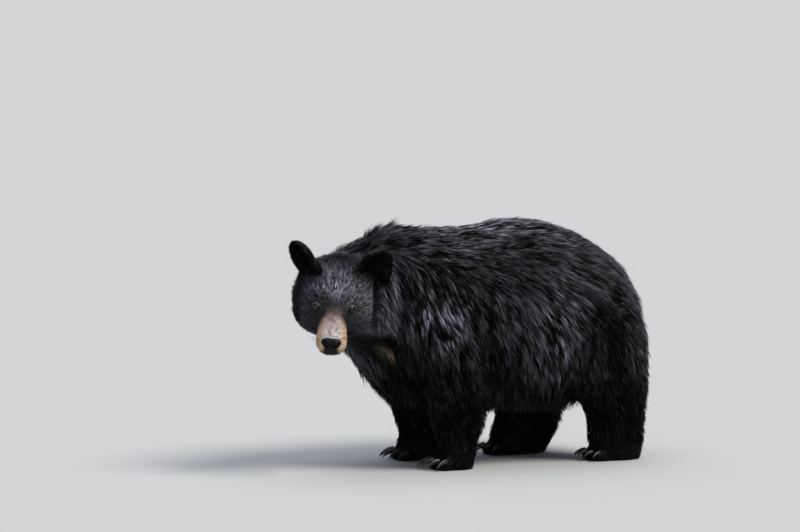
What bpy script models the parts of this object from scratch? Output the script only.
"""A grown black bear, life size, standing square on the floor with its head turned to its left.

The flesh is lofted from a few named sections of each region, joined into one smooth form that
reaches the tips of the coat, and then parted into the pieces that a person would name.
Metres, +Z up. The bear faces -X and its left side is at -Y. The origin is on the floor,
under the middle of the whole animal.
"""

import math

import bmesh
import bpy
import numpy as np
from mathutils import Matrix, Vector
from mathutils.bvhtree import BVHTree

# Driving dimensions.
FOOT_SPREAD = 0.145  # from the middle plane to the middle of each foot
FORE_STEP = {"left": 0.0, "right": -0.010}  # how far each foot stands off its place
HIND_STEP = {"left": 0.0, "right": -0.250}
STEP_FULLNESS = 0.10  # how much a leg thickens fore and aft for each metre that it leans
HEAD_PLACE = Vector((-0.756, -0.184, 0.582))  # midway between the two eyes
HEAD_TURN = math.radians(62)  # to the bear's left of straight ahead
HEAD_PITCH = math.radians(33)  # nose down
HEAD_ROLL = math.radians(5.5)  # left ear down
GAP = 0.0007  # how far a cutter is grown, so that its neighbour stays clear of the piece

# How finely the forms are made.
AROUND = 28
LOFT_STEPS = 4
VOXEL = 0.007
FINE_SHARE = 0.036  # of the joined form's faces, kept for the head
COARSE_SHARE = 0.0085  # and for the body
EASE = {"factor": 0.6, "times": 14, "on_face": 0.25, "on_floor": 0.12, "from": 0.08, "to": 0.16}
FACE_REACH = 0.20  # from midway between the eyes
FACE_BACK = -0.12
CLEAR = 0.3  # past the tip of the muzzle, in head coordinates

SIDES = {"left": -1, "right": 1}

# Sections of the trunk and neck from rump to nape:
# x, y, half width, top, height of the widest point, bottom.
TRUNK_SECTIONS = [
    (0.460, 0.0, 0.092, 0.548, 0.455, 0.390),
    (0.432, 0.0, 0.167, 0.618, 0.455, 0.320),
    (0.372, 0.0, 0.213, 0.701, 0.455, 0.260),
    (0.296, 0.0, 0.248, 0.757, 0.460, 0.220),
    (0.188, 0.0, 0.268, 0.809, 0.460, 0.194),
    (0.055, 0.0, 0.276, 0.843, 0.460, 0.194),
    (-0.080, 0.0, 0.272, 0.840, 0.465, 0.203),
    (-0.200, 0.0, 0.262, 0.830, 0.475, 0.206),
    (-0.320, 0.0, 0.248, 0.828, 0.490, 0.200),
    (-0.420, 0.0, 0.225, 0.833, 0.510, 0.204),
    (-0.500, 0.0, 0.200, 0.827, 0.540, 0.266),
    (-0.580, -0.008, 0.178, 0.791, 0.575, 0.358),
    (-0.650, -0.030, 0.158, 0.765, 0.600, 0.430),
    (-0.705, -0.060, 0.130, 0.756, 0.605, 0.490),
]

# Sections of the legs from the top down:
# z, x, distance from the middle plane, reach forward, reach back, half width.
FORE_SECTIONS = [
    (0.620, -0.330, 0.125, 0.100, 0.090, 0.080),
    (0.540, -0.345, 0.150, 0.145, 0.120, 0.105),
    (0.430, -0.320, 0.162, 0.155, 0.105, 0.112),
    (0.340, -0.280, 0.162, 0.152, 0.090, 0.104),
    (0.260, -0.248, 0.157, 0.160, 0.080, 0.092),
    (0.180, -0.246, 0.150, 0.134, 0.066, 0.082),
    (0.100, -0.260, 0.145, 0.090, 0.056, 0.076),
    (0.045, -0.270, 0.145, 0.080, 0.056, 0.072),
    (0.000, -0.275, 0.145, 0.074, 0.052, 0.064),
]
HIND_SECTIONS = [
    (0.620, 0.262, 0.105, 0.130, 0.100, 0.085),
    (0.530, 0.276, 0.135, 0.180, 0.142, 0.122),
    (0.420, 0.286, 0.150, 0.185, 0.157, 0.128),
    (0.330, 0.302, 0.157, 0.168, 0.142, 0.120),
    (0.250, 0.328, 0.157, 0.150, 0.118, 0.108),
    (0.170, 0.350, 0.152, 0.131, 0.091, 0.092),
    (0.100, 0.356, 0.147, 0.120, 0.084, 0.084),
    (0.045, 0.357, 0.145, 0.112, 0.082, 0.076),
    (0.000, 0.356, 0.145, 0.096, 0.074, 0.066),
]

# Sections of the head along its own axis, measured from midway between the eyes:
# forward, half width, top, height of the widest point, bottom.
SKULL_SECTIONS = [
    (-0.205, 0.092, 0.062, -0.016, -0.088),
    (-0.170, 0.127, 0.088, -0.028, -0.124),
    (-0.125, 0.146, 0.102, -0.040, -0.152),
    (-0.080, 0.148, 0.101, -0.052, -0.163),
    (-0.040, 0.138, 0.088, -0.058, -0.160),
    (-0.008, 0.115, 0.064, -0.060, -0.145),
    (0.018, 0.081, 0.038, -0.058, -0.127),
    (0.038, 0.050, 0.014, -0.056, -0.106),
]
MUZZLE_SECTIONS = [
    (-0.020, 0.054, 0.037, -0.045, -0.102),
    (0.030, 0.048, 0.024, -0.052, -0.099),
    (0.068, 0.050, 0.011, -0.056, -0.099),
    (0.100, 0.053, -0.002, -0.058, -0.102),
    (0.128, 0.051, -0.009, -0.058, -0.103),
    (0.147, 0.042, -0.017, -0.058, -0.097),
    (0.158, 0.026, -0.032, -0.058, -0.085),
]

# Sections of the tail from its root: x, height, half width, reach above and below.
TAIL_SECTIONS = [
    (0.425, 0.555, 0.030, 0.026),
    (0.448, 0.535, 0.036, 0.030),
    (0.468, 0.500, 0.036, 0.030),
    (0.478, 0.462, 0.028, 0.024),
    (0.480, 0.436, 0.012, 0.012),
]

FEET = {
    "fore": {"sole": 0.155, "half": 0.064, "instep": 0.074, "heel": -0.215},
    "hind": {"sole": 0.205, "half": 0.062, "instep": 0.078, "heel": 0.430},
}
FOOT_SECTIONS = [  # share of the sole's length, of its half width and of the instep's height
    (0.04, 0.34, 0.45),
    (0.20, 0.72, 0.74),
    (0.42, 0.92, 1.00),
    (0.68, 1.00, 0.82),
    (0.86, 0.92, 0.56),
    (0.95, 0.70, 0.36),
]
SOLE_MIDDLE = 0.012  # height of a foot's widest point
SOLE_BELOW = 0.022  # how far its form reaches under that, past the floor
TOE = {
    "count": 5,
    "fan": math.radians(24),
    "radii": (0.030, 0.0145, 0.024),
    "up": 0.021,
    "from_tip": 0.018,
    "arc": 0.020,  # how far the outer toes stand back from the middle one
    "from_side": 0.014,
}
CLAWS = {  # length, radius at the root, drop of the tip
    "fore": (0.046, 0.0062, 0.014),
    "hind": (0.036, 0.0056, 0.010),
}
CLAW_SUNK = 0.012  # how much of a claw is inside its toe
CLAW_UP = 0.004  # from its toe's middle

EYE = {"spread": 0.0622, "up": 0.009, "radius": 0.0130, "sunk": 0.0078}
NOSE = {
    "forward": 0.143,
    "up": -0.041,
    "radii": (0.022, 0.034, 0.021),
    "nostril": {"side": 0.016, "sunk": 0.001, "radii": (0.009, 0.0065, 0.0055)},
}
EAR = {
    "forward": -0.107,
    "spread": {"left": 0.128, "right": 0.119},
    "up": {"left": 0.100, "right": 0.110},
    "radii": (0.027, 0.059, 0.072),  # thickness, width and height
    "rim": 0.009,
    "root": (0.026, 0.051, 0.048),  # the broad foot of the ear, in the same order
    "root_place": (-0.004, 0.018, -0.040),  # from the ear's middle: forward, to the crown and up
    "lean_out": math.radians(27),
    "lean_back": math.radians(12),
    "face_out": {"left": math.radians(12), "right": math.radians(42)},  # this ear is turned aside
}

# Where the body is parted. Each outline is drawn from the side, x and z, and leans with its leg.
NECK_CUT = {"place": (-0.167, 0.050, 0.0), "facing": (0.80, -0.45, 0.40)}  # in head coordinates
MOUTH_HEIGHT = -0.073
JAW_ROOT = 0.022
MUZZLE_ROOT = 0.042
TRUNK_CUTS = {"neck": (-9, -0.43), "chest": (-0.43, -0.12), "barrel": (-0.12, 0.16), "rump": (0.16, 9)}
LEG_CUTS = {
    "fore": {"upper_arm": (0.31, 9), "forearm": (0.075, 0.31), "paw": (-9, 0.075)},
    "hind": {"thigh": (0.33, 9), "shank": (0.085, 0.33), "foot": (-9, 0.085)},
}
LEG_SPLIT = {"floor": -0.03, "slope": 0.36}  # from the middle plane, and more with height
LEG_OUTLINES = {
    "fore": [
        (-0.52, -0.05), (-0.10, -0.05), (-0.10, 0.14), (-0.162, 0.20), (-0.162, 0.31),
        (-0.15, 0.40), (-0.20, 0.49), (-0.29, 0.56), (-0.38, 0.54), (-0.44, 0.45), (-0.46, 0.36),
        (-0.435, 0.30), (-0.42, 0.20), (-0.52, 0.14),
    ],
    "hind": [
        (0.10, -0.05), (0.60, -0.05), (0.60, 0.26), (0.57, 0.40), (0.48, 0.50),
        (0.39, 0.575), (0.29, 0.585), (0.20, 0.54), (0.14, 0.45), (0.11, 0.36), (0.14, 0.28),
        (0.17, 0.20), (0.10, 0.14),
    ],
}

# Shared shaping tools.


def new_collection(name):
    made = bpy.data.collections.new(name)
    bpy.context.scene.collection.children.link(made)
    return made


def add_object(name, mesh, collection):
    made = bpy.data.objects.new(name, mesh)
    collection.objects.link(made)
    return made


def mesh_from(bm, name):
    """The mesh of a bmesh, facing out, which is then freed."""
    bmesh.ops.recalc_face_normals(bm, faces=bm.faces)
    mesh = bpy.data.meshes.new(name)
    bm.to_mesh(mesh)
    bm.free()
    return mesh


def smooth_rows(rows, steps=LOFT_STEPS):
    """Rows on a smooth curve through the given ones, so that few sections make a round form."""
    rows = np.array(rows, float)
    ends = np.vstack([2 * rows[0] - rows[1], rows, 2 * rows[-1] - rows[-2]])
    found = []
    for a, b, c, d in zip(ends, ends[1:], ends[2:], ends[3:]):
        for t in np.linspace(0, 1, steps, endpoint=False):
            slope = (c - a) * t
            bend = (2 * a - 5 * b + 4 * c - d) * t**2
            turn = (3 * b - a - 3 * c + d) * t**3
            found.append(0.5 * (2 * b + slope + bend + turn))
    found.append(rows[-1])
    return found


def oval(centre, side, up, widths, heights, fullness=2.2):
    """A ring of points with its own width on each side and its own height above and below."""
    points = []
    for i in range(AROUND):
        angle = 2 * math.pi * i / AROUND
        across = math.copysign(abs(math.cos(angle)) ** (2 / fullness), math.cos(angle))
        along = math.copysign(abs(math.sin(angle)) ** (2 / fullness), math.sin(angle))
        width = widths[0] if across > 0 else widths[1]
        height = heights[0] if along > 0 else heights[1]
        points.append(centre + side * across * width + up * along * height)
    return points


def add_loft(bm, rings):
    """Skins the rings in order and closes both ends."""
    corners = [[bm.verts.new(point) for point in ring] for ring in rings]
    for first, second in zip(corners, corners[1:]):
        for i in range(AROUND):
            j = (i + 1) % AROUND
            bm.faces.new((first[i], first[j], second[j], second[i]))
    bm.faces.new(corners[0])
    bm.faces.new(corners[-1])


def add_ball(bm, place, radii, turn=None, segments=20, rings=12):
    turn = turn or Matrix.Identity(4)
    stretch = Matrix.Diagonal((*radii, 1))
    matrix = Matrix.Translation(place) @ turn @ stretch
    bmesh.ops.create_uvsphere(bm, u_segments=segments, v_segments=rings, radius=1, matrix=matrix)


# The forms of the body.


def head_matrix():
    """Carries head coordinates, forward, left and up, to the bear's place."""
    level = Vector((-math.cos(HEAD_TURN), -math.sin(HEAD_TURN), 0))
    up = Vector((0, 0, 1))
    forward = level * math.cos(HEAD_PITCH) - up * math.sin(HEAD_PITCH)
    crown = level * math.sin(HEAD_PITCH) + up * math.cos(HEAD_PITCH)
    left = crown.cross(forward)
    crown, left = (
        crown * math.cos(HEAD_ROLL) + left * math.sin(HEAD_ROLL),
        left * math.cos(HEAD_ROLL) - crown * math.sin(HEAD_ROLL),
    )
    turn = Matrix((forward, left, crown)).transposed().to_4x4()
    return Matrix.Translation(HEAD_PLACE) @ turn


HEAD = head_matrix()


def trunk_rings():
    rings = []
    for x, y, half, top, wide, bottom in smooth_rows(TRUNK_SECTIONS):
        centre = Vector((x, y, wide))
        heights = (top - wide, wide - bottom)
        rings.append(oval(centre, Vector((0, 1, 0)), Vector((0, 0, 1)), (half, half), heights))
    return rings


def lean(z, top):
    """The share of a foot's step that its leg has taken up at height z."""
    return (1 - min(max(z, 0) / top, 1)) ** 1.1


def leg_rings(sections, side, step):
    """Rings of a leg. One that steps out leans, and is a little fuller."""
    rings = []
    top = sections[0][0]
    for z, x, out, fore, aft, half in smooth_rows(sections):
        moved = step * lean(z, top)
        centre = Vector((x + moved, out * side, z))
        reach = (fore + STEP_FULLNESS * abs(moved), aft + STEP_FULLNESS * abs(moved))
        rings.append(oval(centre, Vector((-1, 0, 0)), Vector((0, 1, 0)), reach, (half, half)))
    return rings


def head_rings(sections, fullness):
    rings = []
    turn = HEAD.to_3x3()
    for forward, half, top, wide, bottom in smooth_rows(sections):
        centre = HEAD @ Vector((forward, 0, wide))
        side, up = turn @ Vector((0, 1, 0)), turn @ Vector((0, 0, 1))
        rings.append(oval(centre, side, up, (half, half), (top - wide, wide - bottom), fullness))
    return rings


def toes(kind, side, step):
    """The tip of each toe and the way that it points, from the inner toe outwards."""
    foot = FEET[kind]
    found = []
    for i in range(TOE["count"]):
        share = 2 * i / (TOE["count"] - 1) - 1
        reach = foot["sole"] - TOE["from_tip"] - TOE["arc"] * share * share
        y = (FOOT_SPREAD + share * (foot["half"] - TOE["from_side"])) * side
        place = Vector((foot["heel"] + step - reach, y, TOE["up"]))
        angle = share * TOE["fan"]
        found.append((place, Vector((-math.cos(angle), math.sin(angle) * side, 0))))
    return found


def add_foot(bm, kind, side, step):
    """A flat-footed paw: heel, instep and five toes."""
    foot = FEET[kind]
    rings = []
    for reach, width, height in smooth_rows(FOOT_SECTIONS):
        x = foot["heel"] + step - reach * foot["sole"]
        centre = Vector((x, FOOT_SPREAD * side, SOLE_MIDDLE))
        half = foot["half"] * width
        heights = (foot["instep"] * height, SOLE_BELOW)
        rings.append(oval(centre, Vector((0, 1, 0)), Vector((0, 0, 1)), (half, half), heights))
    add_loft(bm, rings)
    for place, way in toes(kind, side, step):
        turn = way.to_track_quat("X", "Z").to_matrix().to_4x4()
        add_ball(bm, place, TOE["radii"], turn)


def rough_form():
    """Every flesh form in one mesh, still overlapping."""
    bm = bmesh.new()
    add_loft(bm, trunk_rings())
    add_loft(bm, head_rings(SKULL_SECTIONS, 2.35))
    add_loft(bm, head_rings(MUZZLE_SECTIONS, 2.5))
    for name, side in SIDES.items():
        add_loft(bm, leg_rings(FORE_SECTIONS, side, FORE_STEP[name]))
        add_loft(bm, leg_rings(HIND_SECTIONS, side, HIND_STEP[name]))
        add_foot(bm, "fore", side, FORE_STEP[name])
        add_foot(bm, "hind", side, HIND_STEP[name])
    return mesh_from(bm, "rough_form")


def evaluated(obj, name):
    """The object's mesh with its modifiers applied."""
    bpy.context.view_layer.update()
    graph = bpy.context.evaluated_depsgraph_get()
    mesh = bpy.data.meshes.new_from_object(obj.evaluated_get(graph))
    mesh.name = name
    return mesh


def joined_form(helpers):
    """One closed skin round all the forms, with its creases eased."""
    rough = add_object("rough", rough_form(), helpers)
    remesh = rough.modifiers.new("Join", "REMESH")
    remesh.mode = "VOXEL"
    remesh.voxel_size = VOXEL
    remesh.use_smooth_shade = True
    closed = add_object("closed", evaluated(rough, "closed"), helpers)
    ease = closed.vertex_groups.new(name="ease")
    to_head = HEAD.inverted()
    for vertex in closed.data.vertices:
        off_floor = (vertex.co.z - EASE["from"]) / (EASE["to"] - EASE["from"])
        weight = min(max(off_floor, EASE["on_floor"]), 1)
        near_face = (vertex.co - HEAD_PLACE).length < FACE_REACH
        if near_face and (to_head @ vertex.co).x > FACE_BACK:
            weight *= EASE["on_face"]
        ease.add([vertex.index], weight, "REPLACE")
    smooth = closed.modifiers.new("Ease", "SMOOTH")
    smooth.factor = EASE["factor"]
    smooth.iterations = EASE["times"]
    smooth.vertex_group = "ease"
    return evaluated(closed, "whole")


def thinned(mesh, share, name, helpers):
    """The mesh with that share of its faces left, and its soles cut flat at the floor."""
    obj = add_object(name, mesh, helpers)
    thin = obj.modifiers.new("Thin", "DECIMATE")
    thin.ratio = share
    return sliced(evaluated(obj, name), (0, 0, 0), (0, 0, 1))


# Parting the body.


def sliced(mesh, place, facing, gap=0.0):
    """What lies on the facing side of a plane, less the gap, and closed again."""
    bm = bmesh.new()
    bm.from_mesh(mesh)
    facing = Vector(facing).normalized()
    place = Vector(place) + facing * gap
    everything = bm.verts[:] + bm.edges[:] + bm.faces[:]
    bmesh.ops.bisect_plane(bm, geom=everything, plane_co=place, plane_no=facing, clear_inner=True)
    bmesh.ops.holes_fill(bm, edges=[edge for edge in bm.edges if edge.is_boundary])
    bmesh.ops.triangulate(bm, faces=bm.faces)
    return mesh_from(bm, mesh.name)


def slab(mesh, axis, low, high):
    """What lies between two heights along an axis, with half of the gap off each side."""
    facing = Vector((0, 0, 0))
    facing[axis] = 1
    mesh = sliced(mesh, facing * low, facing, GAP / 2)
    return sliced(mesh, facing * high, -facing, GAP / 2)


def combined(mesh, cutter, operation, helpers, grow=0.0):
    """The mesh after a Boolean with the cutter's mesh, which is first grown where asked."""
    tool = add_object("tool", cutter, helpers)
    if grow:
        grown = tool.modifiers.new("Grow", "DISPLACE")
        grown.strength = grow
        grown.mid_level = 0
    obj = add_object("work", mesh, helpers)
    boolean = obj.modifiers.new("Part", "BOOLEAN")
    boolean.operation = operation
    boolean.object = tool
    made = evaluated(obj, mesh.name)
    bpy.data.objects.remove(obj)
    bpy.data.objects.remove(tool)
    return largest(made)


def largest(mesh):
    """The mesh without the crumbs that a cut may leave."""
    bm = bmesh.new()
    bm.from_mesh(mesh)
    bmesh.ops.remove_doubles(bm, verts=bm.verts, dist=1e-5)
    bmesh.ops.triangulate(bm, faces=bm.faces)
    left = set(bm.verts)
    pieces = []
    while left:
        piece, waiting = set(), [left.pop()]
        while waiting:
            vertex = waiting.pop()
            piece.add(vertex)
            for edge in vertex.link_edges:
                other = edge.other_vert(vertex)
                if other in left:
                    left.discard(other)
                    waiting.append(other)
        pieces.append(piece)
    pieces.sort(key=len)
    for piece in pieces[:-1]:
        bmesh.ops.delete(bm, geom=list(piece), context="VERTS")
    return mesh_from(bm, mesh.name)


def leg_zone(kind, side, step):
    """The space that holds one leg, from inside the body outwards."""
    top = (FORE_SECTIONS if kind == "fore" else HIND_SECTIONS)[0][0]
    bm = bmesh.new()
    inner, outer = [], []
    for x, z in LEG_OUTLINES[kind]:
        x += step * lean(z, top)
        split = LEG_SPLIT["floor"] + LEG_SPLIT["slope"] * z
        inner.append(bm.verts.new((x, split * side, z)))
        outer.append(bm.verts.new((x, 0.5 * side, z)))
    bm.faces.new(inner)
    bm.faces.new(outer)
    for i in range(len(inner)):
        j = (i + 1) % len(inner)
        bm.faces.new((inner[i], inner[j], outer[j], outer[i]))
    bmesh.ops.triangulate(bm, faces=bm.faces)
    return mesh_from(bm, "leg_zone")


def ball_mesh(name, place, radii, turn=None, segments=12, rings=7):
    bm = bmesh.new()
    add_ball(bm, place, radii, turn, segments, rings)
    return mesh_from(bm, name)


def claw_mesh(kind):
    """A curved claw along +X with its root at the origin."""
    length, radius, drop = CLAWS[kind]
    sides, steps = 6, 3
    bm = bmesh.new()
    rings = []
    for i in range(steps):
        share = i / steps
        height = drop * (0.35 * math.sin(math.pi * share) - share**2)
        size = radius * (1 - share) ** 0.7
        ring = []
        for k in range(sides):
            angle = 2 * math.pi * k / sides
            across, up = 0.72 * size * math.cos(angle), size * math.sin(angle)
            ring.append(bm.verts.new((length * share, across, height + up)))
        rings.append(ring)
    tip = bm.verts.new((length, 0, -drop))
    for first, second in zip(rings, rings[1:]):
        for k in range(sides):
            m = (k + 1) % sides
            bm.faces.new((first[k], first[m], second[m], second[k]))
    for k in range(sides):
        bm.faces.new((rings[-1][k], rings[-1][(k + 1) % sides], tip))
    bm.faces.new(rings[0])
    bmesh.ops.triangulate(bm, faces=bm.faces)
    return mesh_from(bm, "claw_" + kind)


def tail_mesh():
    rings = []
    for x, z, half, reach in TAIL_SECTIONS:
        centre, across = Vector((x, 0, z)), Vector((0, 1, 0))
        rings.append(oval(centre, across, Vector((0.75, 0, 0.66)), (half, half), (reach, reach)))
    bm = bmesh.new()
    add_loft(bm, rings)
    bmesh.ops.triangulate(bm, faces=bm.faces)
    return mesh_from(bm, "tail")


# The named pieces.


def material(name, colour, roughness, metallic=0.0):
    made = bpy.data.materials.new(name)
    made.use_nodes = True
    shader = made.node_tree.nodes["Principled BSDF"]
    shader.inputs["Base Color"].default_value = (*colour, 1)
    shader.inputs["Roughness"].default_value = roughness
    shader.inputs["Metallic"].default_value = metallic
    return made


class Bear:
    """Collects the named pieces under one empty that stands at the middle of the floor."""

    def __init__(self):
        self.collection = new_collection("black_bear")
        self.helpers = new_collection("helpers")
        self.root = add_object("root", None, self.collection)
        self.finish = {
            "coat": material("black_coat", (0.012, 0.012, 0.015), 0.55),
            "muzzle": material("brown_muzzle", (0.23, 0.12, 0.06), 0.60),
            "nose": material("nose_leather", (0.010, 0.010, 0.011), 0.35),
            "eye": material("eye", (0.045, 0.018, 0.008), 0.08),
            "claw": material("claw_horn", (0.035, 0.028, 0.022), 0.40),
        }

    def add(self, name, mesh, finish):
        if not mesh.materials:
            mesh.materials.append(self.finish[finish])
        made = add_object(name, mesh, self.collection)
        made.parent = self.root
        return made


def add_legs(bear, body):
    """Takes the four legs off the body and adds their pieces. Returns what is left of it."""
    steps = {"fore": FORE_STEP, "hind": HIND_STEP}
    for kind, cuts in LEG_CUTS.items():
        claw = claw_mesh(kind)
        for name, side in SIDES.items():
            step = steps[kind][name]
            zone = leg_zone(kind, side, step)
            leg = combined(body, zone, "INTERSECT", bear.helpers)
            body = combined(body, zone, "DIFFERENCE", bear.helpers, GAP)
            for part, (low, high) in cuts.items():
                piece = largest(slab(leg, 2, low, high))
                if low < 0:
                    piece = add_claws(bear, piece, claw, kind, name, toes(kind, side, step))
                bear.add(f"{kind}_{name}_{part}", piece, "coat")
    return body


def add_claws(bear, paw, claw, kind, name, places):
    """Sets a claw in each toe. Returns the paw with their sockets."""
    for number, (place, way) in enumerate(places, 1):
        root = place + way * (TOE["radii"][0] - CLAW_SUNK) + Vector((0, 0, CLAW_UP))
        piece = bear.add(f"claw_{kind}_{name}_{number}", claw, "claw")
        piece.location = root
        piece.rotation_mode = "QUATERNION"
        piece.rotation_quaternion = way.to_track_quat("X", "Z")
        socket = claw.copy()
        turn = piece.rotation_quaternion.to_matrix().to_4x4()
        socket.transform(Matrix.Translation(root) @ turn)
        paw = combined(paw, socket, "DIFFERENCE", bear.helpers, GAP)
    return paw


def add_trunk(bear, body):
    tail = tail_mesh()
    for name, (low, high) in TRUNK_CUTS.items():
        piece = slab(body, 0, low, high)
        if name == "rump":
            piece = combined(piece, tail.copy(), "DIFFERENCE", bear.helpers, GAP)
        bear.add(name, largest(piece), "coat")
    bear.add("tail", tail, "coat")


def ear_mesh(name, side, head, helpers):
    """A round cup on the crown, cut where it meets the head."""
    turn = Matrix.Rotation(side * EAR["lean_out"], 4, "X")
    turn = turn @ Matrix.Rotation(-EAR["lean_back"], 4, "Y")
    turn = turn @ Matrix.Rotation(-side * EAR["face_out"][name], 4, "Z")
    # Left is +Y in head coordinates, and the left side is -1.
    place = (EAR["forward"], -side * EAR["spread"][name], EAR["up"][name])
    frame = HEAD @ Matrix.Translation(place) @ turn
    depth, width, height = EAR["radii"]
    outer = ball_mesh("ear", (0, 0, 0), (depth, width, height), segments=14, rings=8)
    forward, inward, up = EAR["root_place"]
    root = ball_mesh("root", (forward, side * inward, up), EAR["root"], segments=14, rings=8)
    outer = combined(outer, root, "UNION", helpers)
    rim = EAR["rim"]
    inner_radii = (depth, width - rim, height - rim)
    inner = ball_mesh("inner", (depth * 0.75, 0, 0), inner_radii, segments=14, rings=8)
    outer.transform(frame)
    inner.transform(frame)
    cup = combined(outer, inner, "DIFFERENCE", helpers)
    return combined(cup, head.copy(), "DIFFERENCE", helpers, GAP)


def eye_place(side, head):
    """Where the centre of an eye is, a little under the surface of the face."""
    bm = bmesh.new()
    bm.from_mesh(head)
    tree = BVHTree.FromBMesh(bm)
    bm.free()
    start = HEAD @ Vector((CLEAR, -side * EYE["spread"], EYE["up"]))
    back = HEAD.to_3x3() @ Vector((-1, 0, 0))
    hit, normal, _, _ = tree.ray_cast(start, back)
    return hit - normal * EYE["sunk"]


def head_box(low, high):
    """A box in head coordinates, between two corners."""
    bm = bmesh.new()
    size = Vector(high) - Vector(low)
    middle = (Vector(high) + Vector(low)) / 2
    matrix = HEAD @ Matrix.Translation(middle) @ Matrix.Diagonal((*size, 1))
    bmesh.ops.create_cube(bm, size=1, matrix=matrix)
    return mesh_from(bm, "box")


def add_head(bear, head):
    """Parts the head into skull, muzzle and jaw, and sets in the eyes, nose and ears."""
    snout = head_box((MUZZLE_ROOT, -CLEAR, MOUTH_HEIGHT), (CLEAR, CLEAR, CLEAR))
    chin = head_box((JAW_ROOT, -CLEAR, -CLEAR), (CLEAR, CLEAR, MOUTH_HEIGHT - GAP))
    muzzle = combined(head, snout.copy(), "INTERSECT", bear.helpers)
    jaw = combined(head, chin.copy(), "INTERSECT", bear.helpers)
    skull = combined(head, snout, "DIFFERENCE", bear.helpers, GAP)
    skull = combined(skull, chin, "DIFFERENCE", bear.helpers, GAP)

    for name, side in SIDES.items():
        bear.add(f"ear_{name}", ear_mesh(name, side, head, bear.helpers), "coat")
        eye = ball_mesh("eye", eye_place(side, head), [EYE["radius"]] * 3)
        skull = combined(skull, eye.copy(), "DIFFERENCE", bear.helpers, GAP)
        bear.add(f"eye_{name}", eye, "eye")

    whole_nose, nose = nose_meshes(bear.helpers)
    muzzle = combined(muzzle, whole_nose, "DIFFERENCE", bear.helpers, GAP)
    bear.add("nose", nose, "nose")
    bear.add("head", skull, "coat")
    bear.add("muzzle", muzzle, "muzzle")
    bear.add("lower_jaw", jaw, "coat")


def nose_meshes(helpers):
    """The nose pad, whole and then with its two nostrils."""
    whole = ball_mesh("nose", (NOSE["forward"], 0, NOSE["up"]), NOSE["radii"])
    whole.transform(HEAD)
    pad = whole.copy()
    nostril = NOSE["nostril"]
    tip = NOSE["forward"] + NOSE["radii"][0]
    for side in SIDES.values():
        place = (tip - nostril["sunk"], side * nostril["side"], NOSE["up"] - nostril["sunk"])
        hollow = ball_mesh("nostril", place, nostril["radii"], segments=10, rings=6)
        hollow.transform(HEAD)
        pad = combined(pad, hollow, "DIFFERENCE", helpers)
    return whole, pad


def place_origin(bear):
    """Moves the whole bear so that the origin is under the middle of its box."""
    bpy.context.view_layer.update()
    corners = []
    for obj in bear.collection.objects:
        if obj.type == "MESH":
            corners += [obj.matrix_world @ vertex.co for vertex in obj.data.vertices]
    low = Vector(min(corner[axis] for corner in corners) for axis in range(3))
    high = Vector(max(corner[axis] for corner in corners) for axis in range(3))
    bear.root.location = Vector((-(low.x + high.x) / 2, -(low.y + high.y) / 2, -low.z))


def main():
    for obj in list(bpy.data.objects):
        bpy.data.objects.remove(obj)
    bear = Bear()
    bear.helpers.hide_render = True
    whole = joined_form(bear.helpers)
    fine = thinned(whole, FINE_SHARE, "fine", bear.helpers)
    coarse = thinned(whole, COARSE_SHARE, "coarse", bear.helpers)
    cut = HEAD @ Vector(NECK_CUT["place"])
    facing = HEAD.to_3x3() @ Vector(NECK_CUT["facing"])
    add_head(bear, largest(sliced(fine, cut, facing, GAP / 2)))
    body = largest(sliced(coarse, cut, -facing, GAP / 2))
    add_trunk(bear, add_legs(bear, body))
    for obj in list(bear.helpers.objects):
        bpy.data.objects.remove(obj)
    place_origin(bear)


main()
